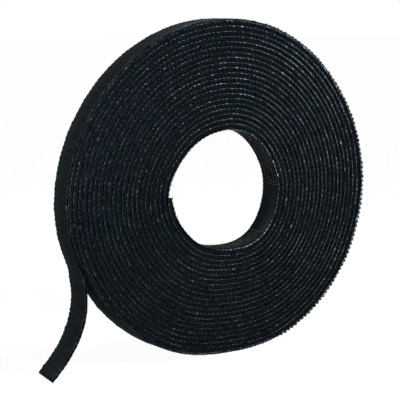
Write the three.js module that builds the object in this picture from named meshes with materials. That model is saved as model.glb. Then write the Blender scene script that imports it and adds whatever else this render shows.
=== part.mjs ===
// A roll of back-to-back hook and loop tape. It stands on its rim, and its free end bends away from the roll
// and down to the table. Millimetres, +Z up: the roll's axis lies along Y, its front edge faces -Y, and the
// origin is the middle of the flat that the roll has settled on. Angles are in degrees, anticlockwise from +X
// as seen from the front, and count on from turn to turn.
import * as THREE from 'three';

// The tape: a hook web and a loop web, bonded back to back
const TAPE_WIDTH = 10;
const HOOK_WEB_THICKNESS = 0.4;
const LOOP_WEB_THICKNESS = 0.4;
const BOND_GAP = 0.3;

// The winding: hooks face the bore, loops face out, and both grip each other between the turns
const BORE_RADIUS = 20.9;
const TURN_PITCH = 1.77;
const WHOLE_TURNS = 22;
const STEPS_PER_TURN = 24;
const INNER_END_ANGLE = 181;
const PEEL_ANGLE = 200.5;
const FOOT_ANGLE = 270;

// Soft turns sag out of round, all of them alike: so many waves round a turn, so high, highest at this angle
const OUT_OF_ROUND = [
  { waves: 2, height: 0.32, peak: 161 },
  { waves: 3, height: 0.53, peak: 74 },
  { waves: 5, height: 0.11, peak: 26 },
  { waves: 6, height: 0.14, peak: 5 },
];

// The free end: it swings off the roll round one arc and lands on the table round a second, slower one
const PEEL_LINE_GAP = 0.5;
const PEEL_ARC_SWEEP = 46;
const LANDING_ARC_SWEEP = 22;
const LANDING_TO_PEEL_RADIUS = 1.55;
const LANDING_CLEARANCE = 0.05;
const FREE_END_STEP = 3;

// The tape leans in one swell before its last foot, and along the free end past a first stretch: its back
// edge stands this much further out than its front edge
const LAST_TURN_LEAN = 0.9;
const FREE_END_LEAN = 0.72;
const FREE_END_LEAN_RUN = 6;

// Finishes
const LOOP_COLOUR = '#181b1d';
const LOOP_ROUGHNESS = 0.95;
const HOOK_COLOUR = '#23272b';
const HOOK_ROUGHNESS = 0.75;

// What follows from the dimensions above
const STEP_ANGLE = 360 / STEPS_PER_TURN;
const LOOP_WEB_INNER = HOOK_WEB_THICKNESS + BOND_GAP;
const TAPE_THICKNESS = LOOP_WEB_INNER + LOOP_WEB_THICKNESS;
const PEEL_LINE_ANGLE = PEEL_ANGLE + 360 * WHOLE_TURNS;
const LAST_FOOT_ANGLE = FOOT_ANGLE + 360 * Math.floor((PEEL_LINE_ANGLE - FOOT_ANGLE) / 360);
const AXIS_HEIGHT = innerRadius(LAST_FOOT_ANGLE) + TAPE_THICKNESS;

/** Unit vector at an angle in degrees. */
function direction(angle) {
  const radians = THREE.MathUtils.degToRad(angle);
  return new THREE.Vector2(Math.cos(radians), Math.sin(radians));
}

/** How far the sag of a soft roll moves the tape out from an even spiral, or in where it is below zero. */
function sag(angle) {
  const heights = OUT_OF_ROUND.map(({ waves, height, peak }) => height * direction(waves * (angle - peak)).x);
  return heights.reduce((sum, height) => sum + height, 0);
}

/** Distance from the roll's axis to the tape's inner face. */
function innerRadius(angle) {
  const turns = (angle - INNER_END_ANGLE) / 360;
  return BORE_RADIUS + TURN_PITCH * turns + sag(angle);
}

/** How far the back edge stands out past the front one: a swell from under the peel line to the last foot. */
function lean(angle) {
  const start = PEEL_LINE_ANGLE - 360;
  const end = LAST_FOOT_ANGLE - STEP_ANGLE / 2;
  const inSwell = angle > start && angle < end;
  return inSwell ? LAST_TURN_LEAN * direction((180 * (angle - start)) / (end - start)).y : 0;
}

/**
 * A corner of the winding's inner face, which way is outwards and how the tape leans there. Corners lie half
 * a step to each side of the foot and on from there. The two beside a foot take the radius at its middle, so
 * every turn lies flat.
 */
function cornerStation(corner) {
  const angle = FOOT_ANGLE + (corner + 0.5) * STEP_ANGLE;
  const foot = FOOT_ANGLE + 360 * Math.round((angle - FOOT_ANGLE) / 360);
  const besideFoot = Math.abs(angle - foot) < STEP_ANGLE;
  const stretch = besideFoot ? 1 / direction(angle - foot).x : 1;
  const outward = direction(angle).multiplyScalar(stretch);
  const radius = innerRadius(besideFoot ? foot : angle);
  return { point: outward.clone().multiplyScalar(radius), outward, leaning: lean(angle) };
}

/** Corner count at an angle, whole at the corners themselves. */
function cornerCount(angle) {
  return (angle - FOOT_ANGLE) / STEP_ANGLE - 0.5;
}

/** The winding's inner face at any angle, on the straight side between two corners. */
function windingStation(angle) {
  const before = Math.floor(cornerCount(angle));
  const share = cornerCount(angle) - before;
  const from = cornerStation(before);
  const to = cornerStation(before + 1);
  const leaning = THREE.MathUtils.lerp(from.leaning, to.leaning, share);
  return { point: from.point.lerp(to.point, share), outward: from.outward.lerp(to.outward, share), leaning };
}

/** The winding from its inner cut end to the peel line. */
function windingStations() {
  const gapAngle = THREE.MathUtils.radToDeg(PEEL_LINE_GAP / 2 / innerRadius(PEEL_LINE_ANGLE));
  const endAngle = PEEL_LINE_ANGLE - gapAngle;
  const firstCorner = Math.floor(cornerCount(INNER_END_ANGLE)) + 1;
  const stations = [windingStation(INNER_END_ANGLE)];
  for (let corner = firstCorner; corner < cornerCount(endAngle); corner += 1) {
    stations.push(cornerStation(corner));
  }
  stations.push(windingStation(endAngle));
  return stations;
}

/** Stations of an arc that bends away from the roll, from its first heading round to its last. */
function outwardArc(start, heading, sweep, radius) {
  const length = radius * THREE.MathUtils.degToRad(sweep);
  const steps = Math.ceil(length / FREE_END_STEP);
  return Array.from({ length: steps + 1 }, (_, step) => {
    const outward = direction(heading - (sweep * step) / steps - 90);
    const point = direction(heading - 90).sub(outward).multiplyScalar(radius).add(start);
    return { point, outward };
  });
}

/** The free end's inner face, from the peel line to its cut end. Its arcs share the drop to the table. */
function freeEndStations() {
  const peelHeading = PEEL_LINE_ANGLE + 90;
  const landingHeading = peelHeading - PEEL_ARC_SWEEP;
  const endHeading = landingHeading - LANDING_ARC_SWEEP;
  const peelPoint = windingStation(PEEL_LINE_ANGLE).point;
  const drop = AXIS_HEIGHT + peelPoint.y - LANDING_CLEARANCE;
  const peelDrop = direction(peelHeading).x - direction(landingHeading).x;
  const landingDrop = direction(landingHeading).x - direction(endHeading).x;
  const peelRadius = drop / (peelDrop + LANDING_TO_PEEL_RADIUS * landingDrop);
  const landingRadius = LANDING_TO_PEEL_RADIUS * peelRadius;
  const gapSweep = THREE.MathUtils.radToDeg(PEEL_LINE_GAP / 2 / peelRadius);
  const start = outwardArc(peelPoint, peelHeading, gapSweep, peelRadius).at(-1).point;
  const peelArc = outwardArc(start, peelHeading - gapSweep, PEEL_ARC_SWEEP - gapSweep, peelRadius);
  const landingArc = outwardArc(peelArc.at(-1).point, landingHeading, LANDING_ARC_SWEEP, landingRadius);
  return [...peelArc, ...landingArc.slice(1)].map((station) => {
    const away = station.point.distanceTo(peelPoint);
    return { ...station, leaning: FREE_END_LEAN * THREE.MathUtils.smoothstep(away, 0, FREE_END_LEAN_RUN) };
  });
}

/** The front edge of one face of a web: the stations moved outwards by an offset. */
function faceLine(stations, offset) {
  return stations.map(({ point, outward }) => point.clone().addScaledVector(outward, offset));
}

/** A web as one closed strip: a four-sided section that follows the stations and leans as they do. */
function webGeometry(stations, innerOffset, outerOffset, pivot) {
  const half = TAPE_WIDTH / 2;
  const section = [[innerOffset, -half], [innerOffset, half], [outerOffset, half], [outerOffset, -half]];
  const sides = section.length;
  const positions = stations.flatMap(({ point, outward, leaning }) => section.flatMap(([offset, y]) => {
    const out = offset + leaning * (0.5 + y / TAPE_WIDTH);
    const place = point.clone().addScaledVector(outward, out).sub(pivot);
    return [place.x, y, place.y];
  }));
  const last = sides * (stations.length - 1);
  const index = [0, 1, 2, 0, 2, 3, last, last + 2, last + 1, last, last + 3, last + 2];
  for (let row = 0; row < last; row += sides) {
    for (let side = 0; side < sides; side += 1) {
      const next = (side + 1) % sides;
      index.push(row + side, row + sides + next, row + next);
      index.push(row + side, row + sides + side, row + sides + next);
    }
  }
  const geometry = new THREE.BufferGeometry();
  geometry.setAttribute('position', new THREE.Float32BufferAttribute(positions, 3));
  geometry.setIndex(index);
  geometry.computeVertexNormals();
  return geometry;
}

/** A named web of one colour. */
function webMesh(name, geometry, color, roughness) {
  const mesh = new THREE.Mesh(geometry, new THREE.MeshStandardMaterial({ color, roughness, metalness: 0 }));
  mesh.name = name;
  return mesh;
}

/** The hook web and the loop web of one stretch of tape, in a group that turns about its pivot. */
function tapeGroup(stations, stretch, pivot) {
  const hook = webGeometry(stations, 0, HOOK_WEB_THICKNESS, pivot);
  const loop = webGeometry(stations, LOOP_WEB_INNER, TAPE_THICKNESS, pivot);
  const group = new THREE.Group();
  group.add(webMesh(`hook_tape_${stretch}`, hook, HOOK_COLOUR, HOOK_ROUGHNESS));
  group.add(webMesh(`loop_tape_${stretch}`, loop, LOOP_COLOUR, LOOP_ROUGHNESS));
  group.position.set(pivot.x, 0, AXIS_HEIGHT + pivot.y);
  return group;
}

/** Least distance from an outer face to the inner face that lies over it, half a turn on or more. */
function leastTurnGap(outerFace, innerFace) {
  const halfTurn = Math.floor(STEPS_PER_TURN / 2);
  const inPlane = ({ x, y }) => new THREE.Vector3(x, y, 0);
  const corners = innerFace.map(inPlane);
  const sides = corners.slice(1).map((corner, place) => new THREE.Line3(corners[place], corner));
  const nearest = new THREE.Vector3();
  let least = Infinity;
  outerFace.map(inPlane).forEach((point, place) => {
    sides.slice(place + halfTurn).forEach((side) => {
      side.closestPointToPoint(point, true, nearest);
      least = Math.min(least, nearest.distanceTo(point));
    });
  });
  return least;
}

/** Length along a line of points. */
function lineLength(line) {
  return line.slice(1).reduce((sum, point, place) => sum + point.distanceTo(line[place]), 0);
}

const winding = windingStations();
const freeEnd = freeEndStations();

// The free end swings about the peel line, which lies in the tape's outer face
const [peelLine] = faceLine([windingStation(PEEL_LINE_ANGLE)], TAPE_THICKNESS);
const roll = tapeGroup(winding, 'winding', new THREE.Vector2());
const peeledEnd = tapeGroup(freeEnd, 'free_end', peelLine);
const tapeRoll = new THREE.Group();
tapeRoll.add(roll, peeledEnd);

const hookInner = faceLine(winding, 0);
const hookOuter = faceLine(winding, HOOK_WEB_THICKNESS);
const loopInner = faceLine(winding, LOOP_WEB_INNER);
const loopOuter = faceLine(winding, TAPE_THICKNESS);
const freeLength = lineLength(faceLine(freeEnd, HOOK_WEB_THICKNESS));
console.log(`hook web, least gap to itself: ${leastTurnGap(hookOuter, hookInner).toFixed(3)} mm`);
console.log(`loop web, least gap to itself: ${leastTurnGap(loopOuter, loopInner).toFixed(3)} mm`);
console.log(`loop web, least gap to the hook web: ${leastTurnGap(loopOuter, hookInner).toFixed(3)} mm`);
console.log(`tape wound: ${lineLength(hookOuter).toFixed(0)} mm, free: ${freeLength.toFixed(1)} mm`);

export default tapeRoll;
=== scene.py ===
"""The looks of a roll of back-to-back hook and loop tape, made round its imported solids.

The tape is one strip, 10 mm wide: a hook web and a loop web bonded back to back. It is wound with its hooks
towards the bore and stands on its rim, and its free end swings off the roll and down to the table. Each piece
is worked out in the tape's own measures, which are the run along it from the end in the bore, the offset
outwards from its inner face and the distance across it, and is then laid along the path of the tape.
Metres, +Z up, the front edge of the tape towards -Y. Angles are in degrees, anticlockwise from +X as seen
from the front, and count on from turn to turn.
"""

import logging
import math
from dataclasses import dataclass, field, replace
from enum import Enum

import bpy
import numpy as np
from mathutils import Matrix, Vector


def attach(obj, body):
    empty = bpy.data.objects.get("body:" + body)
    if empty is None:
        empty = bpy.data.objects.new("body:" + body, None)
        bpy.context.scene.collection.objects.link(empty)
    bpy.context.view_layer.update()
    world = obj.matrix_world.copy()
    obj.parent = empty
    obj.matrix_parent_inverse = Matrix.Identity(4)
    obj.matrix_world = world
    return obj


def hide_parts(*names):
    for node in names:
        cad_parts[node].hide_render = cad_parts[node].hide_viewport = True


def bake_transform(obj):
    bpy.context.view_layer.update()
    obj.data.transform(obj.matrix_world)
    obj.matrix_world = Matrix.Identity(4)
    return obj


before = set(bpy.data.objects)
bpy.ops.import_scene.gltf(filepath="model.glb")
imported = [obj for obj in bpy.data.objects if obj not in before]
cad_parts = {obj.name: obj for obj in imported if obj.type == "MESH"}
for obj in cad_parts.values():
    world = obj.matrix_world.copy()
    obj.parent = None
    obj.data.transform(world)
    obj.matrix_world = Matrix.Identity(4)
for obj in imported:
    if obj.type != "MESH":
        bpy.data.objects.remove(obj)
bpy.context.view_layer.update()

LOG = logging.getLogger("tape_roll")
MM = 0.001
ROUND = 360.0
TAU = 2.0 * math.pi
UV_NAME = "tape"
SHADE_NAME = "shade"
DRIFT_LENGTHS = np.array([29.0, 47.0, 83.0]) * MM
DRIFT_PHASES = np.array([1.0, 2.3, 3.7])

Array = np.ndarray
Colour = tuple[float, float, float]
Span = tuple[float, float]
Place = tuple[float, float, float]
Shades = tuple[tuple[float, float], ...]
Tree = bpy.types.NodeTree
Socket = bpy.types.NodeSocket


class Body(Enum):
    """The two bodies that the joint at the peel line joins."""

    ROLL = "roll"
    FREE_END = "free_end"


class Edge(Enum):
    """The two edges of the tape, as the sign of the distance across it."""

    FRONT = -1
    BACK = 1


def smooth_step(value: Array) -> Array:
    """An even S from 0 to 1 as the value goes from 0 to 1: three times its square less twice its cube."""
    share = np.clip(value, 0.0, 1.0)
    return share * share * (3.0 - 2.0 * share)


def turned_from(angle: Array, middle: float) -> Array:
    """The angle from a middle one, the shorter way round: between -180 and 180 degrees."""
    return (angle - middle + ROUND / 2.0) % ROUND - ROUND / 2.0


def wander(run: Array, phase: float) -> Array:
    """A slow drift between -1 and 1: the mean of three sines of unlike wavelengths, shifted by the phase."""
    turns = np.asarray(run)[..., None] / DRIFT_LENGTHS
    return np.sin(TAU * turns + phase * DRIFT_PHASES).mean(axis=-1)


@dataclass(frozen=True)
class SagWave:
    """One part of a soft roll's sag: so many waves round a turn, so high, with a crest at this angle."""

    waves: int
    height: float
    crest: float


@dataclass
class TapePath:
    """The line that the tape's inner face follows, from the cut end in the bore to the one on the table."""

    bore_radius: float = 20.9 * MM
    turn_pitch: float = 1.77 * MM
    whole_turns: int = 22
    thickness: float = 1.1 * MM
    tape_width: float = 10.0 * MM
    inner_end_angle: float = 181.0
    inner_end_press: float = 0.4 * MM
    inner_end_reach: float = 12.0
    peel_angle: float = 200.5
    foot_angle: float = 270.0
    foot_swell: float = 0.5 * MM
    foot_reach: float = 40.0
    bore_drop: float = 0.3 * MM
    bore_drop_angle: float = 290.0
    sag: tuple[SagWave, ...] = (
        SagWave(2, 0.32 * MM, 161.0),
        SagWave(3, 0.53 * MM, 74.0),
        SagWave(5, 0.11 * MM, 26.0),
        SagWave(6, 0.14 * MM, 5.0),
    )
    slack_height: float = 0.78 * MM
    slack_angle: float = 345.0
    slack_reach: float = 70.0
    slack_turns: int = 3
    peel_sweep: float = 46.0
    landing_sweep: float = 22.0
    landing_to_peel_radius: float = 1.55
    landing_clearance: float = 0.05 * MM
    angle_step: float = 0.5
    free_step: float = 0.2 * MM
    drift_out: float = 0.06 * MM
    drift_out_phase: float = 0.7
    drift_across: float = 0.12 * MM
    drift_across_phase: float = 2.9
    last_turn_lean: float = 0.9 * MM
    lean_before_foot: float = 7.5
    free_end_lean: float = 0.72 * MM
    free_end_lean_run: float = 6.0 * MM
    pressed_height: float = 0.02 * MM
    angles: Array = field(init=False, repr=False)
    runs: Array = field(init=False, repr=False)
    line: Array = field(init=False, repr=False)
    outward: Array = field(init=False, repr=False)

    def __post_init__(self) -> None:
        """Work out the line, the run at each of its points and which way is outwards there."""
        self.angles = np.arange(self.inner_end_angle, self.peel_line_angle, self.angle_step)
        self.angles = np.append(self.angles, self.peel_line_angle)
        wound = self.wound_line()
        self.line = np.concatenate([wound, self.free_line(wound)])
        steps = np.linalg.norm(np.diff(self.line, axis=0), axis=1)
        self.runs = np.concatenate([[0.0], np.cumsum(steps)])
        tangent = np.gradient(self.line, self.runs, axis=0)
        tangent /= np.linalg.norm(tangent, axis=1, keepdims=True)
        self.outward = np.column_stack([tangent[:, 1], -tangent[:, 0]])

    @property
    def peel_line_angle(self) -> float:
        """Angle at which the tape leaves the roll, counted on through all turns."""
        return self.peel_angle + ROUND * self.whole_turns

    @property
    def axis_height(self) -> float:
        """Height of the roll's axis: the outer face of the last foot is on the table."""
        return float(self.even_radius(np.array([self.last_foot_angle]))[0]) + self.thickness

    @property
    def last_foot_angle(self) -> float:
        """Angle of the foot of the last turn."""
        return self.foot_angle + ROUND * math.floor((self.peel_line_angle - self.foot_angle) / ROUND)

    @property
    def length(self) -> float:
        """Whole length of the tape."""
        return float(self.runs[-1])

    @property
    def peel_run(self) -> float:
        """Run at which the tape leaves the roll."""
        return self.run_at(self.peel_line_angle)

    def even_radius(self, angle: Array) -> Array:
        """Radius of the inner face: an even spiral out from the bore, with sag, drop, slack and a press.

        The sag is a sum of waves round each turn. The drop is a shift of the inner turns, less and less
        outwards. The slack is one swell, an even S up and down on both sides of its angle, that grows from
        turn to turn over the last few. The press lays the end in the bore closer to the next turn, by an
        even S.

        Args:
            angle: Angles of the winding.

        Returns:
            The radius at each angle.
        """
        beyond = angle - self.inner_end_angle
        turns = beyond / ROUND
        waves = [w.height * np.cos(np.radians(w.waves * (angle - w.crest))) for w in self.sag]
        beside = np.abs(turned_from(angle, self.slack_angle))
        grown = np.clip(1.0 - (self.peel_line_angle - angle) / (ROUND * self.slack_turns), 0.0, 1.0)
        slack = self.slack_height * grown * smooth_step(1.0 - beside / self.slack_reach)
        inside = 1.0 - np.clip(turns / self.whole_turns, 0.0, 1.0)
        drop = self.bore_drop * inside * np.cos(np.radians(angle - self.bore_drop_angle))
        press = self.inner_end_press * smooth_step(1.0 - beyond / self.inner_end_reach)
        return self.bore_radius + self.turn_pitch * turns + sum(waves) + drop + slack + press

    def wound_line(self) -> Array:
        """The wound tape's inner face.

        The radius is that of the sagging spiral. Beside each foot it swells where the turns are squashed by
        the roll's weight, as the square of a sine of the angle from it, and more so in the outer turns.

        Returns:
            Points as rows of x and z.
        """
        beside = turned_from(self.angles, self.foot_angle)
        share = np.sin(math.pi * np.clip(beside / self.foot_reach, -1.0, 1.0)) ** 2
        grown = (self.angles - self.inner_end_angle) / (ROUND * self.whole_turns)
        radius = self.even_radius(self.angles) + self.foot_swell * share * grown
        turned = np.radians(self.angles)
        return np.column_stack([radius * np.cos(turned), self.axis_height + radius * np.sin(turned)])

    def free_line(self, wound: Array) -> Array:
        """The free end's inner face: two arcs that bend away from the roll and share the drop to the table.

        Along an arc of radius R the heading h falls, so x changes by R times the fall of its sine and z by R
        times the rise of its cosine.

        Args:
            wound: Points of the wound tape, whose last step gives the first heading.

        Returns:
            Points as rows of x and z, without the first, which is the last wound one.
        """
        last_step = wound[-1] - wound[-2]
        first = math.degrees(math.atan2(last_step[1], last_step[0])) % ROUND
        middle = (self.peel_line_angle + ROUND / 4.0 - self.peel_sweep) % ROUND
        headings = np.radians([first, middle, middle - self.landing_sweep])
        falls = np.cos(headings[:-1]) - np.cos(headings[1:])
        drop = wound[-1][1] - self.landing_clearance
        peel_radius = drop / (falls[0] + self.landing_to_peel_radius * falls[1])
        radii = peel_radius * np.array([1.0, self.landing_to_peel_radius])
        points, start = [], wound[-1]
        for radius, begin, end in zip(radii, headings[:-1], headings[1:]):
            count = math.ceil(radius * (begin - end) / self.free_step)
            heading = np.linspace(begin, end, count + 1)[1:]
            across = radius * (math.sin(begin) - np.sin(heading))
            rise = radius * (np.cos(heading) - math.cos(begin))
            points.append(start + np.column_stack([across, rise]))
            start = points[-1][-1]
        return np.concatenate(points)

    def run_at(self, angle: float) -> float:
        """Run at an angle of the winding."""
        return float(np.interp(angle, self.angles, self.runs[: len(self.angles)]))

    def shade_at(self, run: Array, shades: Shades) -> Array:
        """The shade at each run, even between the angles that it is given for in order."""
        return np.interp(run, [self.run_at(angle) for angle, _ in shades], [shade for _, shade in shades])

    def run_above(self, run: Array) -> Array:
        """Run of what lies on the tape there, one turn further on, or the last wound run."""
        wound = self.runs[: len(self.angles)]
        return np.interp(np.interp(run, wound, self.angles) + ROUND, self.angles, wound)

    def lean(self, run: Array) -> Array:
        """How far the tape's back edge stands out past its front edge.

        One half wave of a sine from under the peel line to the last foot, and an even S from the peel line on
        to a height that the free end keeps.

        Args:
            run: Distance along the tape.

        Returns:
            The lean at each run.
        """
        start = self.run_at(self.peel_line_angle - ROUND)
        end = self.run_at(self.last_foot_angle - self.lean_before_foot)
        swell = np.sin(math.pi * np.clip((run - start) / (end - start), 0.0, 1.0))
        free = smooth_step((run - self.peel_run) / self.free_end_lean_run)
        return self.last_turn_lean * swell + self.free_end_lean * free

    def lay(self, run: Array, offset: Array, across: Array) -> Array:
        """Lay points given in the tape's measures along its path.

        A point is the path's point at its run, plus its offset along the outward direction there, with its
        distance across as y. Past the cut ends the path goes straight on. The tape drifts a little outwards
        and across as a hand-wound one does, its back edge leans outwards in places, and what would be under
        the table is pressed flat on it.

        Args:
            run: Distance along the tape.
            offset: Distance outwards from the inner face.
            across: Distance across the tape from its middle, towards the back.

        Returns:
            Points as rows of x, y and z, in the shape of the three arrays.
        """
        run, offset, across = np.broadcast_arrays(run, offset, across)
        held = np.clip(run, 0.0, self.length)
        columns = (*self.line.T, *self.outward.T)
        x, z, out_x, out_z = (np.interp(held, self.runs, column) for column in columns)
        leant = self.lean(run) * (0.5 + across / self.tape_width)
        offset = offset + self.drift_out * wander(run, self.drift_out_phase) + leant
        past = run - held
        x = x + offset * out_x - past * out_z
        z = z + offset * out_z + past * out_x
        y = across + self.drift_across * wander(run, self.drift_across_phase)
        return np.stack([x, y, np.maximum(z, self.pressed_height)], axis=-1)


@dataclass
class Surface:
    """One or more closed shapes: points, faces grouped by size, and what a finish reads at each point."""

    points: Array
    faces: list[Array]
    uv: Array
    shade: Array

    @staticmethod
    def joined(parts: list["Surface"]) -> "Surface":
        """Several surfaces as one.

        Args:
            parts: The surfaces, in order.

        Returns:
            One surface that holds all their points and faces.
        """
        starts = np.cumsum([0] + [len(part.points) for part in parts[:-1]])
        faces = [face + start for part, start in zip(parts, starts) for face in part.faces]
        whole = {
            key: np.concatenate([getattr(part, key) for part in parts]) for key in ("points", "uv", "shade")}
        return Surface(faces=faces, **whole)

    def piece(self, name: str, finish: "Finish") -> bpy.types.Object:
        """Make the surface an object with a finish.

        Args:
            name: Name of the piece.
            finish: What it is made of.

        Returns:
            The object, at the origin, with its place in its mesh.
        """
        mesh = bpy.data.meshes.new(name)
        corners = np.concatenate([face.ravel() for face in self.faces]).astype(np.int32)
        sizes = np.concatenate([np.full(len(face), face.shape[1]) for face in self.faces])
        starts = np.concatenate([[0], np.cumsum(sizes)[:-1]]).astype(np.int32)
        mesh.vertices.add(len(self.points))
        mesh.vertices.foreach_set("co", self.points.astype(np.float32).ravel())
        mesh.loops.add(len(corners))
        mesh.loops.foreach_set("vertex_index", corners)
        mesh.polygons.add(len(starts))
        mesh.polygons.foreach_set("loop_start", starts)
        mesh.polygons.foreach_set("use_smooth", np.ones(len(starts), bool))
        mesh.update(calc_edges=True)
        layer = mesh.uv_layers.new(name=UV_NAME)
        layer.uv.foreach_set("vector", self.uv[corners].astype(np.float32).ravel())
        shade = mesh.attributes.new(SHADE_NAME, "FLOAT", "POINT")
        shade.data.foreach_set("value", self.shade.astype(np.float32))
        mesh.materials.append(finish.material())
        made = bpy.data.objects.new(name, mesh)
        bpy.context.scene.collection.objects.link(made)
        LOG.info("%s: %d points, %d faces", name, len(self.points), len(starts))
        return made


def bar_faces(count: int, rings: int, sides: int) -> list[Array]:
    """Faces of many closed bars whose points are counted by bar, then ring, then side.

    Args:
        count: Number of bars.
        rings: Rings along each bar.
        sides: Points round each ring, anticlockwise as seen from the bar's far end.

    Returns:
        The four-sided faces between rings, and the caps at both ends.
    """
    grid = np.arange(count * rings * sides).reshape(count, rings, sides)
    after = np.roll(grid, -1, axis=2)
    quads = np.stack([grid[:, :-1], after[:, :-1], after[:, 1:], grid[:, 1:]], axis=-1)
    return [quads.reshape(-1, 4), np.concatenate([grid[:, 0, ::-1], grid[:, -1]])]


def bars(path: TapePath, centres: Array, radii: Array, plane: Array, sides: int,
         shade: Array) -> Surface:
    """Round bars along many short lines at once, such as threads, hooks and loops.

    Each ring is a circle square to its line: the centre plus the radius times the cosine and sine of the
    angle round it along two directions that are square to the line and to each other.

    Args:
        path: Where the tape lies.
        centres: Points of each line in the tape's measures, as count by rings by 3.
        radii: Radius at each point of each line, as count by rings.
        plane: A direction that a line never runs along, as count by 3, or 3 for all lines alike.
        sides: Points round a ring.
        shade: How light each ring of each bar is, from 0 to 1, as count by rings or count by 1.

    Returns:
        All bars as one surface.
    """
    count, rings = radii.shape
    along = np.gradient(centres, axis=1)
    along /= np.linalg.norm(along, axis=2, keepdims=True)
    first = np.cross(along, np.broadcast_to(plane, (count, 3))[:, None, :])
    first /= np.linalg.norm(first, axis=2, keepdims=True)
    second = np.cross(along, first)
    turn = np.arange(sides) * TAU / sides
    round_it = first[:, :, None] * np.cos(turn)[:, None] + second[:, :, None] * np.sin(turn)[:, None]
    points = (centres[:, :, None] + radii[..., None, None] * round_it).reshape(-1, 3)
    share = np.linspace(0.0, 1.0, rings)[None, :, None]
    uv = np.stack(np.broadcast_arrays(share, turn / TAU, radii[..., None])[:2], axis=-1)
    return Surface(
        path.lay(points[:, 0], points[:, 1], points[:, 2]),
        bar_faces(count, rings, sides),
        uv.reshape(-1, 2),
        np.repeat(np.broadcast_to(shade, radii.shape).ravel(), sides),
    )


def ribbon(path: TapePath, runs: Array, offset: Array, across: Array, shade: Array) -> Surface:
    """One closed strip: a section of points, repeated at each run and cut square at both ends.

    Args:
        path: Where the tape lies.
        runs: Run of each section.
        offset: Offset of each point of one section, or of all points.
        across: The same for the distance across.
        shade: What a finish reads, at each section or at all points.

    Returns:
        The strip, with its run and distance across in millimetres for its weave.
    """
    run, offset, across, shade = np.broadcast_arrays(runs[:, None], offset, across, shade)
    uv = np.stack([run, across], axis=-1) / MM
    points = path.lay(run, offset, across)
    return Surface(points.reshape(-1, 3), bar_faces(1, *run.shape), uv.reshape(-1, 2), shade.ravel())


def node(tree: Tree, kind: str, sockets: dict | None = None, **settings: object) -> bpy.types.Node:
    """Add a node to a tree.

    Args:
        tree: The material's tree.
        kind: Blender's name of the node, without the leading ShaderNode.
        sockets: Input by name or number: another node's output, which is linked, or a plain value.
        settings: The node's own settings.

    Returns:
        The node.
    """
    made = tree.nodes.new("ShaderNode" + kind)
    for key, value in settings.items():
        setattr(made, key, value)
    for key, value in (sockets or {}).items():
        if isinstance(value, Socket):
            tree.links.new(value, made.inputs[key])
        else:
            made.inputs[key].default_value = value
    return made


def maths(tree: Tree, operation: str, *values: object) -> Socket:
    """The result of one sum of plain values or other nodes' outputs, as many as the operation takes."""
    return node(tree, "Math", dict(enumerate(values)), operation=operation).outputs[0]


def mixed(tree: Tree, share: object, first: object, second: object) -> Socket:
    """A colour between two colours or other nodes' outputs: share 0 is the first and 1 the second."""
    pair = [(*colour, 1.0) if isinstance(colour, tuple) else colour for colour in (first, second)]
    return node(tree, "Mix", {0: share, 6: pair[0], 7: pair[1]}, data_type="RGBA").outputs[2]


def noise(tree: Tree, where: Socket, scale: float, detail: float) -> Socket:
    """Soft noise at a place, with so many patches in a unit of it and so many finer layers."""
    return node(tree, "TexNoise", {"Vector": where, "Scale": scale, "Detail": detail}).outputs[0]


def spread(tree: Tree, value: Socket, old: Span, new: Span = (0.0, 1.0)) -> Socket:
    """A value spread from an old range to a new one, and held at the ends of it."""
    ends = {"From Min": old[0], "From Max": old[1], "To Min": new[0], "To Max": new[1]}
    return node(tree, "MapRange", {"Value": value, **ends}).outputs[0]


def in_space(tree: Tree) -> Socket:
    """The place of a point in the roll's own space."""
    return node(tree, "TexCoord").outputs["Object"]


def on_tape(tree: Tree) -> Socket:
    """The run and distance across of a point in millimetres, or the shares along and round a bar."""
    return node(tree, "UVMap", uv_map=UV_NAME).outputs[0]


def shade_of(tree: Tree) -> Socket:
    """The shade that is stored at each point."""
    return node(tree, "Attribute", attribute_name=SHADE_NAME).outputs["Fac"]


class Finish:
    """A material that is made once, when a piece first needs it."""

    name: str

    def material(self) -> bpy.types.Material:
        """The finish as a material.

        Returns:
            The material of this finish's name.
        """
        made = bpy.data.materials.get(self.name)
        if made is None:
            made = bpy.data.materials.new(self.name)
            made.use_nodes = True
            made.node_tree.nodes.clear()
            self.wire(made.node_tree)
        return made

    def wire(self, tree: Tree) -> None:
        """Add the nodes of this finish to an empty tree."""
        raise NotImplementedError


@dataclass(frozen=True, kw_only=True)
class Cloth(Finish):
    """Black nylon: a dark and a light colour, a fine relief, and a gleam that may have casts and specks."""

    name: str
    dark: Colour
    light: Colour
    depth: float
    roughness: float
    specular: float
    casts: tuple[Colour, Colour] | None = None
    cast_scale: float = 110.0
    cast_range: Span = (0.38, 0.62)
    specks: float = 0.0
    speck_scale: float = 1500.0
    speck_range: Span = (0.3, 0.7)

    def end(self, tree: Tree, colour: Socket, height: Socket) -> None:
        """End a tree with this cloth, whose gleam has one cast or the other from patch to patch, and specks.

        Args:
            tree: The material's tree.
            colour: Its colour.
            height: Height of its fine relief, about 0 to 1.
        """
        bump = node(tree, "Bump", {"Height": height, "Distance": self.depth, "Strength": 1.0})
        sockets = {
            "Base Color": colour,
            "Roughness": self.roughness,
            "Specular IOR Level": self.specular,
            "Normal": bump.outputs[0],
        }
        if self.casts:
            patch = noise(tree, in_space(tree), self.cast_scale, 2.0)
            sockets["Specular Tint"] = mixed(tree, spread(tree, patch, self.cast_range), *self.casts)
        if self.specks:
            fine = noise(tree, in_space(tree), self.speck_scale, 1.0)
            ends = self.specular * (1.0 - self.specks), self.specular * (1.0 + self.specks)
            sockets["Specular IOR Level"] = spread(tree, fine, self.speck_range, ends)
        shader = node(tree, "BsdfPrincipled", sockets)
        node(tree, "OutputMaterial", {"Surface": shader.outputs[0]})


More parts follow.
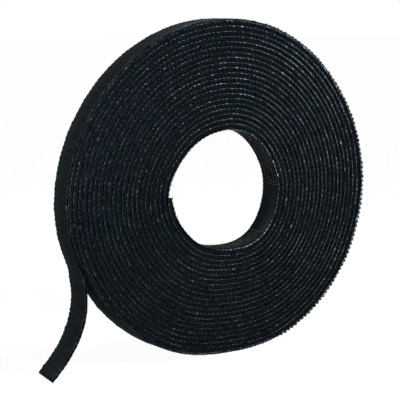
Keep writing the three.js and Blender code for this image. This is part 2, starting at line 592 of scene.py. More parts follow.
@dataclass(frozen=True, kw_only=True)
class WovenFinish(Cloth):
    """A woven ground web: warp and weft cross like a fine basket, with painted shade towards its bound edges.
    """

    tint: Colour
    tint_share: float = 0.6
    tint_scale: float = 70.0
    grain_scale: float = 2600.0
    warp_spacing: float
    weft_spacing: float
    smooth_film_and_painted_light: Colour = (0.0, 0.0, 0.0)
    painted_edge_shade: Span = (4.5, 4.75)

    def wire(self, tree: Tree) -> None:
        """Cross two sines of the tape's measures, tint them, paint shade on the edges and add the smooth
        film.

        Args:
            tree: The material's empty tree.
        """
        run, across, _ = node(tree, "SeparateXYZ", {0: on_tape(tree)}).outputs
        warp, weft = (
            maths(tree, "SINE", maths(tree, "MULTIPLY", measure, TAU / spacing))
            for measure, spacing in ((across, self.warp_spacing), (run, self.weft_spacing)))
        weave = maths(tree, "MULTIPLY_ADD", maths(tree, "MULTIPLY", warp, weft), 0.5, 0.5)
        where = in_space(tree)
        height = maths(tree, "MULTIPLY_ADD", noise(tree, where, self.grain_scale, 3.0), 0.5, weave)
        share = maths(tree, "MULTIPLY", noise(tree, where, self.tint_scale, 2.0), self.tint_share)
        woven = mixed(tree, share, mixed(tree, weave, self.dark, self.light), self.tint)
        # The smooth film, by each point's stored shade: the bare wall's own colour, and painted light and
        # shade where it is graded in.
        ground = mixed(tree, shade_of(tree), woven, self.smooth_film_and_painted_light)
        # Painted shade: towards both edges the colour goes over to the dark of the weave, as if the bound
        # edge shaded it.
        edge = spread(tree, maths(tree, "ABSOLUTE", across), self.painted_edge_shade)
        self.end(tree, mixed(tree, edge, ground, self.dark), height)


@dataclass(frozen=True, kw_only=True)
class PileFinish(Cloth):
    """Soft looped pile: matte, with a fine grain, streaked across the tape so many times in a millimetre."""

    tint: Colour
    tint_share: float = 0.7
    grain_scale: float
    streaks: Place = (0.6, 0.13, 1.0)
    streak_range: Span = (0.35, 0.65)

    def wire(self, tree: Tree) -> None:
        """Mix two colours by fine noise and each fibre's own shade, and tint them in streaks across.

        Args:
            tree: The material's empty tree.
        """
        grain = noise(tree, in_space(tree), self.grain_scale, 4.0)
        lightness = maths(tree, "MULTIPLY", grain, maths(tree, "ADD", shade_of(tree), 0.5))
        pile = mixed(tree, lightness, self.dark, self.light)
        drawn = node(tree, "Mapping", {"Vector": on_tape(tree), "Scale": self.streaks}).outputs[0]
        share = spread(tree, noise(tree, drawn, 1.0, 3.0), self.streak_range, (0.0, self.tint_share))
        self.end(tree, mixed(tree, share, pile, self.tint), grain)


@dataclass(frozen=True, kw_only=True)
class ThreadFinish(Cloth):
    """Twisted nylon thread: smooth enough to catch the light, some floats paler than others."""

    twists: float = 3.0

    def wire(self, tree: Tree) -> None:
        """Mix two colours by each float's shade, with a slanting ripple along the thread for its twist.

        Args:
            tree: The material's empty tree.
        """
        along, around, _ = node(tree, "SeparateXYZ", {0: on_tape(tree)}).outputs
        turns = maths(tree, "MULTIPLY_ADD", along, self.twists, around)
        twist = maths(tree, "SINE", maths(tree, "MULTIPLY", turns, TAU))
        colour = mixed(tree, shade_of(tree), self.dark, self.light)
        self.end(tree, colour, maths(tree, "MULTIPLY", twist, 0.5))


BAND_CASTS = ((0.45, 0.79, 0.98), (0.54, 0.71, 1.0))
BAND_DARK = (0.0001, 0.0002, 0.0003)
BAND_LIGHT = (0.0003, 0.0005, 0.0007)
BAND_TINT = (0.0002, 0.0003, 0.0005)
HOOK_WEB = WovenFinish(
    name="hook_web_weave", dark=(0.0012, 0.0015, 0.0018), light=(0.005, 0.006, 0.007),
    tint=(0.004, 0.005, 0.006), smooth_film_and_painted_light=(0.044, 0.055, 0.066), warp_spacing=1.2, weft_spacing=0.8,
    depth=0.12 * MM, roughness=0.6, specular=0.0,
)
LOOP_WEB = WovenFinish(
    name="loop_web_weave", dark=BAND_DARK, light=BAND_LIGHT, tint=BAND_TINT, warp_spacing=0.5,
    weft_spacing=0.43, depth=0.1 * MM, roughness=0.9, specular=0.244, casts=BAND_CASTS, specks=0.75,
)
LOOP_PILE = PileFinish(
    name="loop_pile_fibre", dark=(0.0271, 0.0387, 0.0455), light=(0.0341, 0.0472, 0.0558),
    tint=(0.016, 0.0228, 0.028), grain_scale=1700.0, depth=0.04 * MM, roughness=0.9, specular=0.03,
)
GRIPPED_PILE = PileFinish(
    name="gripped_pile_fibre", dark=BAND_DARK, light=BAND_LIGHT, tint=BAND_TINT, grain_scale=1500.0,
    depth=0.12 * MM, roughness=0.9, specular=0.217, casts=BAND_CASTS, specks=0.75,
)
HOOK_THREAD = ThreadFinish(
    name="hook_selvedge_thread", dark=(0.005, 0.0066, 0.008), light=(0.39, 0.45, 0.51),
    depth=0.03 * MM, roughness=0.4, specular=0.02,
)
LOOP_THREAD = ThreadFinish(
    name="loop_selvedge_thread", dark=BAND_DARK, light=(0.0008, 0.001, 0.0013),
    depth=0.04 * MM, roughness=0.6, specular=0.15, casts=BAND_CASTS,
)
RIM_THREAD = ThreadFinish(
    name="rim_selvedge_thread", dark=(0.0012, 0.0016, 0.002), light=(0.106, 0.128, 0.142),
    depth=0.04 * MM, roughness=0.6, specular=0.05,
)
HOOK_NYLON = ThreadFinish(
    name="hook_monofilament", dark=(0.0042, 0.0055, 0.0006), light=(0.68, 0.78, 0.74), twists=0.0,
    depth=0.01 * MM, roughness=0.5, specular=0.0,
)


@dataclass
class Web:
    """A woven strip: a flat section with rounded edges, carried along the tape."""

    path: TapePath
    inner: float
    outer: float
    half_width: float
    edge_round: float = 0.1 * MM
    step: float = 1.2 * MM

    @property
    def middle(self) -> float:
        """Offset of the web's middle."""
        return (self.inner + self.outer) / 2.0

    def strip(self, start: float, end: float, shades: Shades = ((0.0, 0.0),)) -> Surface:
        """The web between two runs. Its section has eight points, two at each rounded edge corner.

        Args:
            start: Run at which the strip starts.
            end: Run at which it ends.
            shades: How much of its smooth film colour shows, by angle, which also paints light and shade.

        Returns:
            The closed strip.
        """
        runs = np.linspace(start, end, math.ceil((end - start) / self.step) + 1)
        low, high, cut = self.inner, self.outer, self.edge_round
        flat, full = self.half_width - cut, self.half_width
        offset = np.array([high, high, high - cut, low + cut, low, low, low + cut, high - cut])
        across = np.array([-flat, flat, full, full, flat, -flat, -full, -full])
        return ribbon(self.path, runs, offset, across, self.path.shade_at(runs, shades)[:, None])


@dataclass
class Selvedge:
    """A web's bound edge: floats of thread, one after another, each arched out of the edge and slanted."""

    web: Web
    sunk: float
    rise: float
    radius: float
    float_share: float
    slant: float
    rings: int
    sides: int
    seed: int
    period: float = 1.72 * MM
    phase: float = 0.0
    lift: float = 0.0
    lightness: Shades = ((0.0, 0.2),)
    painted_end_shade: float = 1.5
    unevenness: float = 0.035 * MM
    length_spread: float = 0.08
    rise_spread: float = 0.22
    taper: float = 0.94
    glint_spread: float = 0.6
    glint_drift: float = 0.5
    glint_phase: float = 5.0

    def floats(self, start: float, end: float, edge: Edge) -> Surface:
        """The floats whose middles lie between two runs.

        With t from -1 to 1 along a float, the run goes on evenly, the distance across is that of the edge
        plus the rise times one less t squared, and the radius falls at both ends as the root of one less t
        squared. The thread's colour is painted palest in the middle of a float and darker towards both ends:
        painted shade where it dives into the edge.

        Args:
            start: First run.
            end: Last run.
            edge: Which edge of the tape.

        Returns:
            All floats as one surface.
        """
        first, last = (math.ceil(run / self.period - self.phase) for run in (start, end))
        middles = (np.arange(first, last) + self.phase) * self.period
        random = np.random.default_rng([self.seed, edge.value + 1, first])
        uneven = random.normal(size=(5, len(middles), 1))
        t = np.sin(np.linspace(-0.5, 0.5, self.rings) * math.pi)[None, :]
        arch = 1.0 - t * t
        half = (self.float_share * self.period / 2.0) * (1.0 + self.length_spread * uneven[0])
        rise = self.rise * (1.0 + self.rise_spread * uneven[1])
        run = middles[:, None] + half * t
        offset = self.web.middle + self.lift + self.unevenness * uneven[2] + self.slant * t
        base = self.web.half_width - self.sunk + self.unevenness * uneven[3]
        centres = np.stack([run, offset, edge.value * (base + rise * arch)], axis=-1)
        radii = self.radius * np.sqrt(1.0 - (self.taper * t) ** 2) * np.ones_like(run)
        drift = wander(middles, self.glint_phase + edge.value)[:, None]
        glints = np.exp(self.glint_spread * uneven[4] + self.glint_drift * drift)
        lightness = self.web.path.shade_at(middles, self.lightness)[:, None]
        # Painted shade towards both ends of each float.
        shade = np.clip(lightness * glints, 0.0, 1.0) * arch**self.painted_end_shade
        return bars(self.web.path, centres, radii, np.array([0.0, 1.0, 0.0]), self.sides, shade)


@dataclass
class Seam:
    """A row of short pale stitches across the inner face of the hook web."""

    web: Web
    spacing: float = 0.95 * MM
    length: float = 0.6 * MM
    radius: float = 0.1 * MM
    raised: float = 0.06 * MM
    unevenness: float = 0.05 * MM
    slant: float = 0.08 * MM
    taper: float = 0.9
    lightness: float = 0.16
    lightness_spread: float = 0.05
    least_lightness: float = 0.02
    rings: int = 5
    sides: int = 5
    seed: int = 17

    def stitches(self, run: float) -> Surface:
        """The stitches at one run.

        With t from -1 to 1 along a stitch, the distance across goes on evenly and the stitch arches off the
        web by one less t squared.

        Args:
            run: Run of the row.

        Returns:
            All stitches as one surface.
        """
        count = int(2.0 * self.web.half_width / self.spacing)
        uneven = np.random.default_rng(self.seed).normal(size=(2, count, 1))
        middles = (np.arange(count) - (count - 1) / 2.0) * self.spacing
        t = np.linspace(-1.0, 1.0, self.rings)[None, :]
        across = middles[:, None] + 0.5 * self.length * t
        runs = run + self.unevenness * uneven[0] + self.slant * t
        offset = self.web.inner - self.raised * (1.0 - t * t) * np.ones((count, 1))
        centres = np.stack([runs, offset, across], axis=-1)
        radii = self.radius * np.sqrt(1.0 - (self.taper * t) ** 2) * np.ones((count, 1))
        shade = np.clip(self.lightness + self.lightness_spread * uneven[1], self.least_lightness, 1.0)
        return bars(self.web.path, centres, radii, np.array([1.0, 0.0, 0.0]), self.sides, shade)


@dataclass
class HookRows:
    """Rows of small stiff hooks on the inner face of the hook web: each row leans the other way.

    The shape of a hook is given at five points, root first: how far it leans over as a share of the curl, how
    high it stands as a share of the height, its painted light, dark at the root and pale on the head, and how
    thick as a share of the radius.
    """

    path: TapePath
    along: float = 0.88 * MM
    between_rows: float = 1.66 * MM
    rows: int = 6
    height: float = 0.25 * MM
    curl: float = 0.2 * MM
    radius: float = 0.17 * MM
    over: tuple[float, ...] = (0.0, 0.05, 0.35, 0.85, 1.0)
    up: tuple[float, ...] = (-0.2, 0.6, 0.95, 0.9, 0.5)
    # Painted shade at each hook's root and painted light on its head.
    painted_light_along: tuple[float, ...] = (0.05, 0.2, 1.0, 1.0, 0.6)
    thick: tuple[float, ...] = (1.15, 1.0, 1.0, 0.95, 0.7)
    # Painted light and shade by angle: dim at the bottom of the bore and on its left wall, where the key
    # falls on the hooks, and pale on the upper right wall, which it does not reach.
    lightness: Shades = (
        (262.0, 0.03), (276.0, 0.065), (288.0, 0.065), (314.0, 0.09),
        (361.0, 1.0), (445.0, 1.0), (465.0, 0.12))
    # Painted shade by row: a share of lightness for each row.
    row_painted_shade: tuple[float, ...] = (1.0, 1.0, 1.0, 1.0, 1.0, 1.0)
    size_spread: float = 0.12
    lightness_spread: float = 0.4
    unevenness: float = 0.02 * MM
    twist: float = 0.03 * MM
    sides: int = 4
    seed: int = 7

    def hooks(self, start: float, end: float) -> Surface:
        """The hooks between two runs: each rises from the web, bends over and comes back down.

        Args:
            start: First run.
            end: Last run.

        Returns:
            All hooks as one surface.
        """
        runs = np.arange(start + self.along / 2.0, end - self.curl, self.along)
        rows = (np.arange(self.rows) - (self.rows - 1) / 2.0) * self.between_rows
        run, row = (values.reshape(-1, 1) for values in np.meshgrid(runs, rows, indexing="ij"))
        lean = np.where(np.arange(len(run)) % self.rows % 2 == 0, 1.0, -1.0)[:, None]
        uneven = np.random.default_rng(self.seed).normal(size=(4, len(run), 1))
        over, up, painted_light_along, thick = map(np.array, (self.over, self.up, self.painted_light_along, self.thick))
        size = 1.0 + self.size_spread * uneven[0]
        run = run + self.unevenness * uneven[1]
        centres = np.stack([
            run + self.curl * size * lean * over,
            -(self.height * size) * up,
            row + self.unevenness * uneven[2] + self.twist * uneven[3] * up,
        ], axis=-1)
        radii = np.tile(self.radius * thick, (len(run), 1))
        shares = np.tile(self.row_painted_shade, len(runs))[:, None]
        lightness = self.path.shade_at(run, self.lightness) * shares
        shade = np.clip(lightness * (1.0 + self.lightness_spread * uneven[0]), 0.0, 1.0) * painted_light_along
        return bars(self.path, centres, radii, np.array([0.0, 0.0, 1.0]), self.sides, shade)


@dataclass
class LoopPile:
    """Soft loops that stand on the loop web where a turn lies open."""

    web: Web
    height: float = 0.06 * MM
    height_spread: float = 0.25
    height_range: Span = (0.4, 1.5)
    span: float = 0.42 * MM
    span_spread: float = 0.2
    sideways: float = 0.4
    radius: float = 0.045 * MM
    per_square_mm: float = 0.5
    nap_depth: float = 0.15 * MM
    nap_inset: float = 0.1 * MM
    shade: float = 0.5
    shade_spread: float = 0.25
    sides: int = 3
    rings: int = 4
    seed: int = 11

    def loops(self, start: float, end: float) -> Surface:
        """Open loops on the outer face between two runs, at places and angles of their own.

        Each is half an ellipse: with an angle from 0 to 180 degrees, its cosine goes along the loop's own
        direction on the tape and its sine off the web.

        Args:
            start: First run.
            end: Last run.

        Returns:
            All loops as one surface.
        """
        reach = self.web.half_width - self.span / 4.0
        count = int((end - start) * 2.0 * reach / MM**2 * self.per_square_mm)
        random = np.random.default_rng([self.seed, count])
        run = random.uniform(start, end, (count, 1))
        across = random.uniform(-reach, reach, (count, 1))
        turned = random.uniform(0.0, math.pi, (count, 1))
        uneven = random.normal(size=(3, count, 1))
        arc = np.linspace(0.0, math.pi, self.rings)[None, :]
        half = self.span / 2.0 * (1.0 + self.span_spread * uneven[0])
        high = self.height * np.clip(1.0 + self.height_spread * uneven[1], *self.height_range)
        lean = self.height * self.sideways * uneven[2] * np.sin(arc)
        ahead, aside = np.cos(turned), np.sin(turned)
        centres = np.stack([
            run - half * np.cos(arc) * ahead - lean * aside,
            self.web.outer + high * np.sin(arc),
            across - half * np.cos(arc) * aside + lean * ahead,
        ], axis=-1)
        plane = np.concatenate([-aside, np.zeros((count, 1)), ahead], axis=1)
        shade = np.clip(self.shade + self.shade_spread * uneven[0], 0.0, 1.0)
        radii = np.full((count, self.rings), self.radius)
        return bars(self.web.path, centres, radii, plane, self.sides, shade)

    def open_pile(self, start: float, end: float) -> Surface:
        """The pile of a turn that lies open: a dense nap, and loops that stand out of it.

        Args:
            start: First run.
            end: Last run.

        Returns:
            Both as one surface.
        """
        web = self.web
        top = web.outer + self.nap_depth
        nap = Web(web.path, web.outer - web.edge_round, top, web.half_width - self.nap_inset)
        standing = replace(self, web=replace(web, outer=top - self.radius))
        return Surface.joined([nap.strip(start, end), standing.loops(start, end)])


@dataclass
class GrippedPile:
    """The pile between the turns, where the hooks of each turn grip the loops of the turn inside it."""

    web: Web
    overlap: float = 0.04 * MM
    half_width: float = 4.7 * MM
    bulge: tuple[float, ...] = (0.0, 0.2 * MM, 0.26 * MM)
    step: float = 0.55 * MM
    fuzz: float = 0.17 * MM
    ripple: float = 1.2
    taper: float = 5.0 * MM
    least: float = 0.3
    shade: float = 0.5
    shade_spread: float = 0.2
    seed: int = 12

    def strip(self, end: float) -> Surface:
        """The pile from the end in the bore to where the last turn lies open.

        A six-point section fills the room between one turn and the next, and leans as the next one does. Its
        edges are drawn in and ruffled point by point, and it thins out towards its end.

        Args:
            end: Run at which it ends.

        Returns:
            The closed strip.
        """
        path = self.web.path
        runs = np.arange(0.0, end, self.step)
        above = path.run_above(runs)
        low = self.web.outer - self.web.edge_round
        front = -path.tape_width / 2.0
        room = path.lay(above, 0.0, front) - path.lay(runs, 0.0, front)
        high = np.linalg.norm(room[:, [0, 2]], axis=1)[:, None] + self.overlap
        share = np.array([1.0, 1.0, 0.5, 0.0, 0.0, 0.5])
        side = np.array([-1.0, 1.0, 1.0, 1.0, -1.0, -1.0])
        bulge = np.array(self.bulge)[[2, 2, 1, 0, 0, 1]]
        taper = np.clip((end - runs) / self.taper, self.least, 1.0)[:, None]
        uneven = np.random.default_rng(self.seed).normal(size=(2, len(runs), len(share)))
        ruffle = uneven * self.fuzz
        across = side * (self.half_width + bulge + ruffle[1])
        offset = low + (high - low) * taper * share + self.ripple * ruffle[0] * share * (1.0 - share)
        offset = offset + share * path.lean(above)[:, None] * (0.5 + across / path.tape_width)
        shade = np.clip(self.shade + self.shade_spread * uneven[1], 0.0, 1.0)
        return ribbon(path, runs, offset, across, shade)


@dataclass
class Fray:
    """Loose fibres, at a cut end or along an edge: each starts in the tape, leaves it and droops aside."""

    hook_web: Web
    loop_web: Web
    shortest: float = 0.35
    droop: float = 0.35
    radius: float = 0.03 * MM
    tip: float = 0.5
    shade: float = 0.5
    shade_spread: float = 0.25
    rings: int = 4
    sides: int = 3
    end_count: int = 7
    end_length: float = 0.35 * MM
    end_root: float = 0.2 * MM
    end_reach: float = 0.85
    end_spread: float = 0.2
    foot_count: int = 46
    foot_length: float = 1.0 * MM
    foot_depth: Span = (0.7, 1.0)
    foot_along: float = 0.6
    foot_outward: Span = (0.3, 1.0)
    foot_forward: Span = (-0.8, -0.2)
    foot_seed: int = 31

    def at_end(self, run: float, way: float, seed: int) -> Surface:
        """Short fibres that stand out of a cut end.

        Args:
            run: Run of the cut.
            way: 1 where the tape ends there, and -1 where it starts.
            seed: Makes the two ends unlike.

        Returns:
            All fibres as one surface.
        """
        random, count = np.random.default_rng(seed), self.end_count
        roots = np.stack([
            np.full(count, run - way * self.end_root),
            random.uniform(self.hook_web.inner, self.loop_web.outer, count),
            random.uniform(-self.end_reach, self.end_reach, count) * self.loop_web.half_width,
        ], axis=-1)
        headings = np.array([way, 0.0, 0.0]) + random.normal(size=(count, 3)) * self.end_spread
        return self.fibres(roots, headings, self.end_length, seed)

    def at_foot(self, start: float, end: float) -> Surface:
        """Fibres on the front edge of the tape between two runs, where the roll rubs on the table.

        Args:
            start: First run.
            end: Last run.

        Returns:
            All fibres as one surface.
        """
        random, count = np.random.default_rng(self.foot_seed), self.foot_count
        roots = np.stack([
            random.uniform(start, end, count),
            random.uniform(*self.foot_depth, count) * self.loop_web.outer,
            np.full(count, -self.loop_web.half_width),
        ], axis=-1)
        headings = np.stack([
            random.normal(size=count) * self.foot_along,
            random.uniform(*self.foot_outward, count),
            random.uniform(*self.foot_forward, count),
        ], axis=-1)
        return self.fibres(roots, headings, self.foot_length, self.foot_seed + 1)

    def fibres(self, roots: Array, headings: Array, length: float, seed: int) -> Surface:
        """Fibres from given roots.

        With t from 0 to 1 along a fibre, its point is the root plus t times its heading and its length, plus
        t squared times a droop of its own.

        Args:
            roots: Root of each fibre in the tape's measures, as count by 3.
            headings: Which way each leaves the tape, as count by 3.
            length: Length of the longest.
            seed: Makes the fibres unlike those of another place.

        Returns:
            All fibres as one surface.
        """
        random = np.random.default_rng(seed)
        count = len(roots)
        t = np.linspace(0.0, 1.0, self.rings)[None, :, None]
        size = (length * random.uniform(self.shortest, 1.0, count))[:, None, None]
        droop = random.normal(size=(count, 1, 3)) * self.droop
        centres = roots[:, None, :] + size * (headings[:, None, :] * t + droop * t * t)
        radii = np.tile(self.radius * np.linspace(1.0, self.tip, self.rings), (count, 1))
        plane = np.cross(headings, random.normal(size=(count, 3)))
        shade = np.clip(random.normal(self.shade, self.shade_spread, count), 0.0, 1.0)[:, None]
        return bars(self.loop_web.path, centres, radii, plane, self.sides, shade)


@dataclass
class TapeRoll:
    """The whole roll: two webs with their selvedges, hooks and pile, wound, and the free end that bends off.

    A web's section is its inner and outer offset and its half width.
    """

    path: TapePath = field(default_factory=TapePath)
    hook_section: tuple[float, float, float] = (0.0, 0.45 * MM, 4.96 * MM)
    loop_section: tuple[float, float, float] = (0.43 * MM, 0.88 * MM, 4.75 * MM)
    split_before_peel: float = 11.0 * MM
    bend_before_peel: float = 1.0 * MM
    bend_after_peel: float = 11.0 * MM
    bend_heading: float = 286.0
    inner_turn_sweep: float = 362.0
    bare_angles: Span = (314.5, 361.0)
    # Painted shade on the front rows of the low hooks, whose tops the key would light.
    painted_front_row_shade: tuple[float, ...] = (0.1, 0.6, 1.0, 1.0, 1.0, 1.0)
    # The bare wall shows the smooth film; round it the film is graded in by angle as painted light and shade,
    # dim at the bottom where the key falls and lighter on the upper wall.
    wall_film_and_painted_light: Shades = (
        (270.0, 0.02), (290.0, 0.08), (314.0, 0.12), (316.0, 0.36), (335.0, 0.66),
        (352.0, 1.0), (360.0, 1.0), (363.0, 0.42), (445.0, 0.42), (465.0, 0.0))
    # Painted light and shade on the face's edge threads, the same every turn: pale at the upper right where
    # the key falls, darker at the lower right.
    painted_edge_light: Shades = ((20.0, 0.155), (55.0, 0.235), (85.0, 0.14), (215.0, 0.17), (310.0, 0.122))
    # Painted light and shade on the bore's edge threads: pale at the bottom and lower right, dark from the
    # top round to the left, which faces away from the key.
    painted_bore_edge_light: Shades = (
        (258.0, 0.05), (266.0, 0.3), (290.0, 0.4), (326.0, 0.7), (334.0, 0.3), (450.0, 0.34), (458.0, 0.03))
    # Painted light on the outermost turn's edge beads at the right, where the key catches them, fading
    # towards the top.
    painted_rim_edge_light: Shades = ((296.0, 0.06), (304.0, 0.6), (400.0, 0.6), (430.0, 0.3))
    beaded_angles: Span = (292.0, 436.0)
    foot_fuzz_angles: Span = (256.0, 268.0)

    def __post_init__(self) -> None:
        """Set up the webs and what they carry."""
        path = self.path
        hook, loop = Web(path, *self.hook_section), Web(path, *self.loop_section)
        self.hook_web, self.loop_web = hook, loop
        self.hook_edge = Selvedge(
            hook, sunk=-0.12 * MM, rise=0.22 * MM, radius=0.09 * MM, float_share=0.95, slant=0.07 * MM,
            rings=5, sides=5, seed=3, painted_end_shade=0.9, lightness=tuple(
                (angle + ROUND * turn, shade)
                for turn in range(path.whole_turns + 1) for angle, shade in self.painted_edge_light),
        )
        self.bore_edge = Selvedge(
            hook, sunk=-0.08 * MM, rise=0.26 * MM, radius=0.12 * MM, float_share=0.92, slant=0.07 * MM,
            rings=7, sides=6, seed=4, lift=-0.2 * MM, lightness=self.painted_bore_edge_light,
        )
        self.loop_edge = Selvedge(
            loop, sunk=-0.15 * MM, rise=0.1 * MM, radius=0.12 * MM, float_share=0.9, slant=-0.05 * MM,
            rings=4, sides=4, seed=5, phase=0.5,
        )
        outer = self.outer_turn = path.peel_line_angle - ROUND - path.peel_angle
        self.rim_edge = Selvedge(
            loop, sunk=0.15 * MM, rise=0.5 * MM, radius=0.36 * MM, float_share=0.74, slant=0.05 * MM,
            rings=7, sides=8, seed=6, phase=0.5, lift=0.28 * MM,
            lightness=tuple((angle + outer, shade) for angle, shade in self.painted_rim_edge_light),
        )
        self.tail_edge = replace(
            self.rim_edge, float_share=1.25, rise=0.35 * MM, radius=0.26 * MM, lift=0.15 * MM, painted_end_shade=0.4,
            lightness=((0.0, 0.12),))
        self.hooks = HookRows(path)
        self.pile = LoopPile(loop)
        self.fray = Fray(hook, loop)
        self.split_run = path.peel_run - self.split_before_peel
        self.open_run = path.run_at(path.peel_line_angle - ROUND)
        self.pieces: dict[str, bpy.types.Object] = {}

    def wind(self) -> None:
        """Make the pieces of the wound tape, which ride on the roll."""
        path, split, opened = self.path, self.split_run, self.open_run
        inner_turn = path.run_at(path.inner_end_angle + self.inner_turn_sweep)
        bare = [path.run_at(angle) for angle in self.bare_angles]
        beaded, foot = (
            [path.run_at(angle + self.outer_turn) for angle in angles]
            for angles in (self.beaded_angles, self.foot_fuzz_angles))
        low_hooks = replace(self.hooks, row_painted_shade=self.painted_front_row_shade)
        all_hooks = [low_hooks.hooks(0.0, bare[0]), self.hooks.hooks(bare[1], inner_turn)]
        made = {
            "hook_web": (self.hook_web.strip(0.0, split, self.wall_film_and_painted_light), HOOK_WEB),
            "bore_selvedge": (self.bore_edge.floats(0.0, inner_turn, Edge.FRONT), HOOK_THREAD),
            "loop_web": (self.loop_web.strip(0.0, split), LOOP_WEB),
            "gripped_pile": (GrippedPile(self.loop_web).strip(opened), GRIPPED_PILE),
            "rim_pile": (self.pile.open_pile(opened, split), LOOP_PILE),
            "bore_hooks": (Surface.joined(all_hooks), HOOK_NYLON),
            "bore_seam": (Seam(self.hook_web).stitches(bare[0]), HOOK_THREAD),
            "inner_end_fray": (self.fray.at_end(0.0, -1.0, seed=21), GRIPPED_PILE),
            "foot_fuzz": (self.fray.at_foot(*foot), LOOP_PILE),
        }
        for edge in Edge:
            side = edge.name.lower()
            first = inner_turn if edge is Edge.FRONT else 0.0
            made[f"hook_selvedge_{side}"] = (self.hook_edge.floats(first, split, edge), HOOK_THREAD)
            made[f"loop_selvedge_{side}"] = (self.loop_edge.floats(0.0, opened, edge), LOOP_THREAD)
        ends = [opened, *beaded, split]
        made["rim_selvedge_front"] = (Surface.joined([
            selvedge.floats(low, high, Edge.FRONT)
            for selvedge, low, high in zip((self.tail_edge, self.rim_edge, self.tail_edge), ends, ends[1:])
        ]), RIM_THREAD)
        made["rim_selvedge_back"] = (self.tail_edge.floats(opened, split, Edge.BACK), RIM_THREAD)
        for name, (surface, finish) in made.items():
            self.pieces[name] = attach(surface.piece(name, finish), Body.ROLL.value)

    def peel(self) -> None:
        """Make the pieces of the free end, which curves off the roll at the peel line and down to the table.
        """
        split, end = self.split_run, self.path.length
        even_edge = replace(self.hook_edge, float_share=1.2, painted_end_shade=0.4, lightness=((0.0, 0.055),))
        both = {
            name: Surface.joined([selvedge.floats(split, end, edge) for edge in Edge])
            for name, selvedge in (("hook", even_edge), ("loop", self.tail_edge))}
        made = {
            "free_hook_web": (self.hook_web.strip(split, end), HOOK_WEB),
            "free_loop_web": (self.loop_web.strip(split, end), LOOP_WEB),
            "free_hooks": (self.hooks.hooks(self.path.peel_run + self.hooks.along, end), HOOK_NYLON),
            "free_pile": (self.pile.open_pile(split, end), LOOP_PILE),
            "free_end_fray": (self.fray.at_end(end, 1.0, seed=22), LOOP_PILE),
            "free_hook_selvedge": (both["hook"], HOOK_THREAD),
            "free_loop_selvedge": (both["loop"], RIM_THREAD),
        }
        for name, (surface, finish) in made.items():
            piece = surface.piece(name, finish)
            self.pieces[name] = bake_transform(piece)

    def declare(self) -> None:
        """Hide the solids that the webs stand for, and log how long each web was cut."""
        width, wound, free = self.path.tape_width, self.split_run, self.path.length - self.split_run
        carried = {
            "hook_web": ("hook_tape_winding", wound, [
                "hook_selvedge_front", "hook_selvedge_back", "bore_selvedge", "bore_hooks", "bore_seam",
                "inner_end_fray"]),
            "loop_web": ("loop_tape_winding", wound, [
                "loop_selvedge_front", "loop_selvedge_back", "rim_selvedge_front", "rim_selvedge_back",
                "gripped_pile", "rim_pile", "foot_fuzz"]),
            "free_hook_web": ("hook_tape_free_end", free, ["free_hook_selvedge", "free_hooks"]),
            "free_loop_web": ("loop_tape_free_end", free, [
                "free_loop_selvedge", "free_pile", "free_end_fray"]),
        }
        for name, (solid, length, carries) in carried.items():
            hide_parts(solid)
            LOG.info("%s: %.1f mm by %.0f mm", name, width / MM, length / MM)


def looked_at(tree: Tree) -> Socket:
    """1 for rays from the camera, in reflections and through glass, and 0 for light that falls on things.

    Args:
        tree: The tree of a material or of the world.

    Returns:
        That value.
    """
    rays = node(tree, "LightPath").outputs
    seen = maths(tree, "MAXIMUM", rays["Is Camera Ray"], rays["Is Glossy Ray"])
    return maths(tree, "MAXIMUM", seen, rays["Is Transmission Ray"])


@dataclass(frozen=True)
class FloorFinish(Finish):
    """Plain white paper that keeps a soft shadow: part lit, part a plain white to the eye."""

    name: str = "white_paper"
    colour: Colour = (0.12, 0.12, 0.12)
    glow: float = 0.95

    def wire(self, tree: Tree) -> None:
        """Add a plain glow to a lit surface, for rays that look at it straight or in a reflection.

        Args:
            tree: The material's empty tree.
        """
        lit = node(tree, "BsdfDiffuse", {"Color": (*self.colour, 1.0)})
        glow = node(tree, "Emission", {"Strength": maths(tree, "MULTIPLY", looked_at(tree), self.glow)})
        both = node(tree, "AddShader", {0: lit.outputs[0], 1: glow.outputs[0]})
        node(tree, "OutputMaterial", {"Surface": both.outputs[0]})


@dataclass(frozen=True)
class Lamp:
    """A square soft box: where it stands, what it shines at, its width and its power in watts.

    It lights colours, or it only gleams on what is shiny.
    """

    name: str
    place: Place
    aim: Place
    width: float
    power: float
    gleams: bool = False
    spread: float = 180.0

    def set_up(self) -> None:
        """Stand the lamp in its place and turn it to its aim."""
        light = bpy.data.lights.new(self.name, "AREA")
        light.size, light.energy, light.spread = self.width, self.power, math.radians(self.spread)
        made = bpy.data.objects.new(self.name, light)
        made.location = self.place
        made.rotation_euler = (Vector(self.aim) - made.location).to_track_quat("-Z", "Y").to_euler()
        made.visible_camera, made.visible_diffuse, made.visible_glossy = False, not self.gleams, self.gleams
        bpy.context.scene.collection.objects.link(made)


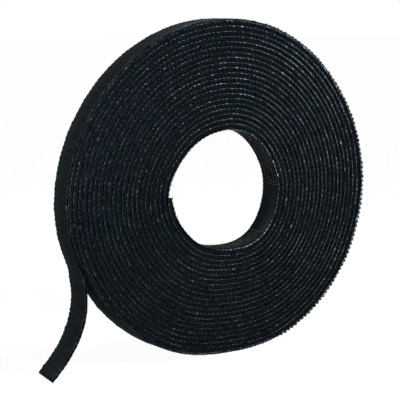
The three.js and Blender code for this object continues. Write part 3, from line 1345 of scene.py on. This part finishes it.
@dataclass(frozen=True)
class Studio:
    """A white table in soft light, and the camera that looks at the roll from its front left."""

    aim: Place = (-6.27 * MM, 3.08 * MM, 55.34 * MM)
    azimuth: float = -30.48
    elevation: float = 9.43
    distance: float = 408.8 * MM
    lens: float = 103.23
    sensor: float = 36.0
    clip: Span = (0.01, 20.0)
    floor_half: float = 4.0
    sky: float = 0.26
    lamps: tuple[Lamp, ...] = (
        Lamp("key", (0.085, -0.09, 0.15), (0.03, 0.0, 0.09), 0.08, 0.96),
        Lamp("fill", (-0.24, -0.30, 0.03), (0.0, 0.0, 0.04), 0.20, 0.12),
        Lamp("gleam", (-0.12, -0.06, 0.10), (-0.04, 0.0, 0.07), 0.06, 0.37, gleams=True),
    )

    def set_up(self) -> None:
        """Lay the floor, light it and place the camera."""
        bpy.context.scene.view_settings.view_transform = "Standard"
        self.lay_floor()
        self.light_world()
        for lamp in self.lamps:
            lamp.set_up()
        self.place_camera()

    def lay_floor(self) -> None:
        """A square sheet of paper at the height of the table."""
        half = self.floor_half
        corners = np.array([[-half, -half, 0.0], [half, -half, 0.0], [half, half, 0.0], [-half, half, 0.0]])
        paper = Surface(corners, [np.array([[0, 1, 2, 3]])], corners[:, :2], np.zeros(4))
        paper.piece("floor", FloorFinish())

    def light_world(self) -> None:
        """Even light from all round, seen as plain white."""
        world = bpy.data.worlds.new("surround")
        bpy.context.scene.world = world
        world.use_nodes = True
        tree = world.node_tree
        tree.nodes.clear()
        strength = maths(tree, "MAXIMUM", looked_at(tree), self.sky)
        glow = node(tree, "Background", {"Color": (1.0, 1.0, 1.0, 1.0), "Strength": strength})
        node(tree, "OutputWorld", {"Surface": glow.outputs[0]})

    def place_camera(self) -> None:
        """Stand the camera at its distance from the aim, upright, and look along the line between them."""
        turn, tilt = math.radians(self.azimuth), math.radians(self.elevation)
        back = Vector((math.sin(turn) * math.cos(tilt), -math.cos(turn) * math.cos(tilt), math.sin(tilt)))
        camera = bpy.data.cameras.new("camera")
        camera.lens, camera.sensor_width = self.lens, self.sensor
        camera.clip_start, camera.clip_end = self.clip
        made = bpy.data.objects.new("camera", camera)
        place = Matrix.Translation(Vector(self.aim) + back * self.distance)
        made.matrix_world = place @ (-back).to_track_quat("-Z", "Y").to_matrix().to_4x4()
        bpy.context.scene.collection.objects.link(made)
        bpy.context.scene.camera = made


def main() -> None:
    """Set up the studio, wind the tape, make its free end, hide the webs' solids and log their lengths."""
    logging.basicConfig(level=logging.INFO, format="%(message)s")
    Studio().set_up()
    roll = TapeRoll()
    roll.wind()
    roll.peel()
    roll.declare()


if __name__ == "__main__":
    main()
